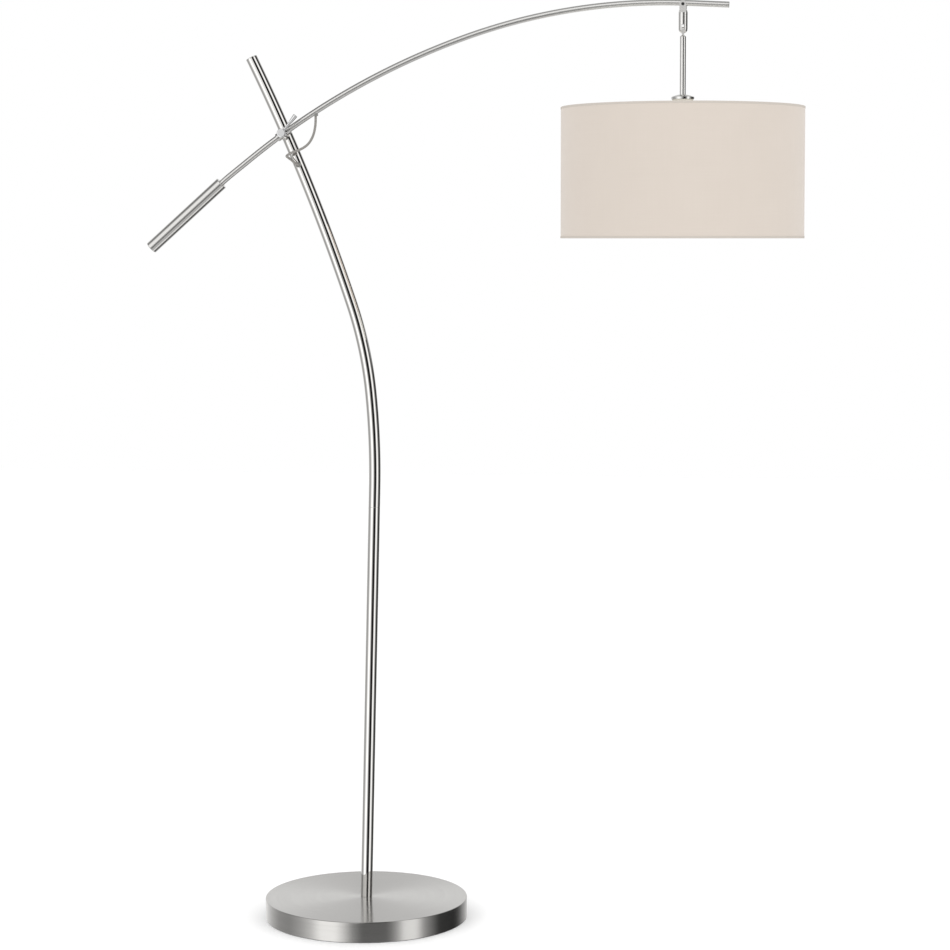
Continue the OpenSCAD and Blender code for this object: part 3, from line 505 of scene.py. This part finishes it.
dress(finish("wire_jacket", {}, grainy((0.02, 0.02, 0.02), (0.03, 0.03, 0.03), 300, (0.4, 0.5))),
      "pole_wire", "arm_wire", "stem_wire")

# ---- Arm ----
# One thin steel tube, rolled to a slack curve that flattens out at the shade's end. It passes
# through the clamp's sleeve and carries the counterweight on its short rear end.
arm_d, arm_y, arm_edge = 0.0112, -0.025, 0.0003
arm_x, arm_z, arm_heading = -0.208394, 1.43202, -51.863
tail_run = bends((arm_x, arm_z, arm_heading + 180), [(0.052, 0), (0.020, 0.3274), (0.048, 0)])
shade_run = bends((arm_x, arm_z, arm_heading), [(0.465, -1.370), (0.410, -1.080), (0.072, 0)])
arm_run = np.vstack([tail_run[::-1], shade_run[1:]])
arm_steel = finish("arm_steel", {"Metallic": 1.0}, drawn_look(
    (0.74, 0.73, 0.71), (0.86, 0.85, 0.83), (0.17, 0.06), 60, 0.000004), "UV")
arm_tube = skin("arm_tube_drawn", tube_rings(arm_run, arm_y, arm_d / 2, 48, arm_edge),
                arm_steel, "arm")
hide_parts("arm_tube")
dress(plated, "arm_cap")

# ---- Counterweight ----
# A bar of solid steel, bored at one end for the arm and turned, brushed lengthwise and plated. Its
# two edges are chamfered, and a sunk set screw holds it.
weight_r, weight_len, weight_cut = 0.01175, 0.182, 0.0008
# Flat faces close the outline: one lies inside the arm, the other is the middle of the end
face_in_arm_r, face_at_end_r = 0.0053, 0.002
weight_foot, weight_heading = (-0.26688, arm_y, 1.38509), math.radians(131.637)
weight_outline = rounded([(face_in_arm_r, 0, 0), (weight_r - weight_cut, 0, 0.0002),
                          (weight_r, weight_cut, 0.0002),
                          (weight_r, weight_len - weight_cut, 0.0002),
                          (weight_r - weight_cut, weight_len, 0.0002),
                          (face_at_end_r, weight_len, 0)], 4)
weight_steel = finish("weight_steel", {"Metallic": 1.0}, drawn_look(
    (0.70, 0.69, 0.67), (0.84, 0.83, 0.81), (0.10, 0.07), 90, 0.000005), "UV")
weight_way = (-math.sin(weight_heading), 0, math.cos(weight_heading))
counterweight = skin("counterweight_bar", turned(weight_outline, weight_foot, weight_way, 96),
                     weight_steel, "arm")
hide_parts("counterweight")
dress(finish("black_steel", {"Metallic": 1.0},
             grainy((0.04, 0.04, 0.04), (0.09, 0.09, 0.09), 300, (0.3, 0.45))),
      "weight_screw", "hanger_pin")

# ---- Clamp lever ----
# A turned hub on the pivot bolt with a short rod screwed into it and a tapered grip at its end, all
# polished and chrome plated.
dress(finish("polished_chrome", {"Metallic": 1.0},
             grainy((0.80, 0.80, 0.80), (0.86, 0.86, 0.86), 40, (0.05, 0.1))),
      "lever_hub", "lever_rod", "lever_grip")

# ---- Link and stem ----
# A small forked link hangs on a pin through the arm's end. A second pin holds the stem in it,
# and the stem is a short nickel-plated steel tube with the cord inside.
dress(finish("satin_pendant_fittings", {"Metallic": 1.0},
             grainy((0.76, 0.75, 0.73), (0.84, 0.83, 0.81), 80, (0.17, 0.24))),
      "link_body", "knuckle_pin", "stem")

# ---- Lamp holder ----
# A moulded holder under the husk, with a rotary switch at its side and a porcelain-white liner
# round the screw shell.
dress(finish("cream_plastic", {"Specular IOR Level": 0.45},
             grainy((0.70, 0.66, 0.58), (0.74, 0.70, 0.62), 60, (0.3, 0.42))), "lamp_holder")
dress(finish("insulating_board", {},
             grainy((0.62, 0.60, 0.55), (0.70, 0.68, 0.63), 200, (0.6, 0.8))), "holder_insulator")
dress(finish("black_plastic", {"Specular IOR Level": 0.5},
             grainy((0.015, 0.015, 0.015), (0.03, 0.03, 0.03), 300, (0.3, 0.45))), "switch_knob")

# ---- Shade ----
# A drum of plain-woven cloth laminated to a stiff white liner, with a glued overlap at the back and
# a narrow tape of the same cloth folded over each rim. Wire rings and three spokes carry it.
shade_x, shade_y, shade_r = 0.592402, arm_y, 0.2215
rim_low, rim_high, tape_t = 1.28221, 1.52021, 0.0004
cloth_low, cloth_high = rim_low + tape_t, rim_high - tape_t
cloth_out, cloth_t, lap_w = shade_r - tape_t, 0.0006, 0.012


def shade_drum(sides=512, rows=60):
    """The cloth wall: radius R from the lower rim to the upper one and back down R - t inside.
    At the back, `off` metres round from the overlap's middle, the outside stands proud by
    0.16 (1 - tanh((off - lap_w / 2) / 0.8)) mm, and it swells by 0.06 sin 3t mm at mid height."""
    t = np.linspace(0, 2 * np.pi, sides, endpoint=False) + np.pi / 2
    off = np.abs((t - np.pi / 2 + np.pi) % (2 * np.pi) - np.pi) * cloth_out
    lap = 0.00016 * (1 - np.tanh((off - lap_w / 2) / 0.0008))
    z = np.linspace(cloth_low, cloth_high, rows)
    belly = np.sin(np.pi * (z - cloth_low) / (cloth_high - cloth_low))[:, None]
    out_r = cloth_out - 0.00006 + 0.00006 * np.sin(3 * t)[None] * belly + lap[None]
    in_r = np.full((rows, sides), cloth_out - cloth_t)
    r = np.vstack([out_r, in_r[::-1]])
    z = np.concatenate([z, z[::-1]])[:, None]
    return np.stack([shade_x + r * np.cos(t), shade_y + r * np.sin(t), z + 0 * r], -1)


def cloth_look(at):
    """Plain weave on UV: sin(warp) sin(weft), a chequer of 2600 threads round and 1900 a metre
    up, with slubs that run along single threads and a faint cloudiness."""
    part = at.part("SeparateXYZ", inputs={"Vector": at})
    up, round_ = (Shade(at.tree, part.socket.node.outputs[i]) for i in range(2))
    warp = (round_ * (2 * math.pi * 2600)).maths("SINE")
    weft = (up * (2 * math.pi * 1900)).maths("SINE")
    weave = warp * weft * 0.5 + 0.5
    slub_up = at.stretched(9, 1500, 1).grain(1.0, 2.0)
    slub_round = at.stretched(900, 12, 1).grain(1.0, 2.0)
    cloud = at.stretched(14, 22, 1).grain(1.0, 3.0)
    mix = slub_up * 0.35 + slub_round * 0.35 + cloud * 0.3
    return {"Base Color": mix.tint((0.60, 0.534, 0.472), (0.665, 0.60, 0.54)),
            "Normal": (weave * 0.6 + slub_up * 0.2 + slub_round * 0.2).bump(0.00012, 0.5)}


shade_cloth = finish("shade_cloth", {"Roughness": 0.9, "Specular IOR Level": 0.2,
                                     "Sheen Weight": 0.3, "Sheen Roughness": 0.4},
                     cloth_look, "UV")
fabric = skin("shade_cloth_drum", shade_drum(), shade_cloth, "pendant", looped=True)
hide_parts("shade_fabric")


def tape_look(at):
    """The same cloth, coloured a little darker than the drum's, with two fine noises on UV."""
    shade = at.stretched(600, 900, 1).grain(1.0, 3.0)
    grain = at.stretched(2500, 2600, 1).grain(1.0, 2.0)
    return {"Base Color": shade.tint((0.52, 0.475, 0.425), (0.58, 0.535, 0.485)),
            "Normal": grain.bump(0.0001, 0.6)}


tape_cloth = finish("rim_tape_cloth", {"Roughness": 0.92, "Specular IOR Level": 0.15}, tape_look,
                    "UV")
tape_in, tape_high = 0.0019, 0.0042
for name, low in (("lower_rim_tape", rim_low), ("upper_rim_tape", rim_high - tape_high)):
    high = low + tape_high
    outline = rounded([(shade_r - tape_in / 2, low, 0), (shade_r, low, 0.0007), (shade_r, high, 0.0007),
                       (shade_r - tape_in, high, 0.0007), (shade_r - tape_in, low, 0.0007),
                       (shade_r - tape_in / 2 - 0.00002, low, 0)], 5)
    skin(name, turned(outline, (shade_x, shade_y, 0), sides=384), tape_cloth, "pendant",
                      looped=True)
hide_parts("rim_tapes")
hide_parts("rim_tapes")
dress(finish("shade_liner", {"Specular IOR Level": 0.3},
             grainy((0.80, 0.79, 0.76), (0.85, 0.84, 0.81), 120, (0.4, 0.5))), "shade_liner")
dress(finish("white_wire", {"Specular IOR Level": 0.5},
             grainy((0.74, 0.74, 0.72), (0.80, 0.80, 0.78), 200, (0.3, 0.4))),
      "spider_ring", "bottom_ring")

# ---- Bulb ----
# A frosted globe of thin blown glass. Its threaded metal cap is crimped and glued to the neck,
# and screws up into the holder's shell.
dress(finish("bulb_cap_metal", {"Metallic": 1.0},
             grainy((0.62, 0.62, 0.60), (0.72, 0.72, 0.70), 200, (0.2, 0.35))), "bulb_cap")
dress(finish("frosted_glass", {"Coat Weight": 0.3},
             grainy((0.84, 0.84, 0.82), (0.88, 0.88, 0.86), 300, (0.25, 0.35))), "bulb_glass")
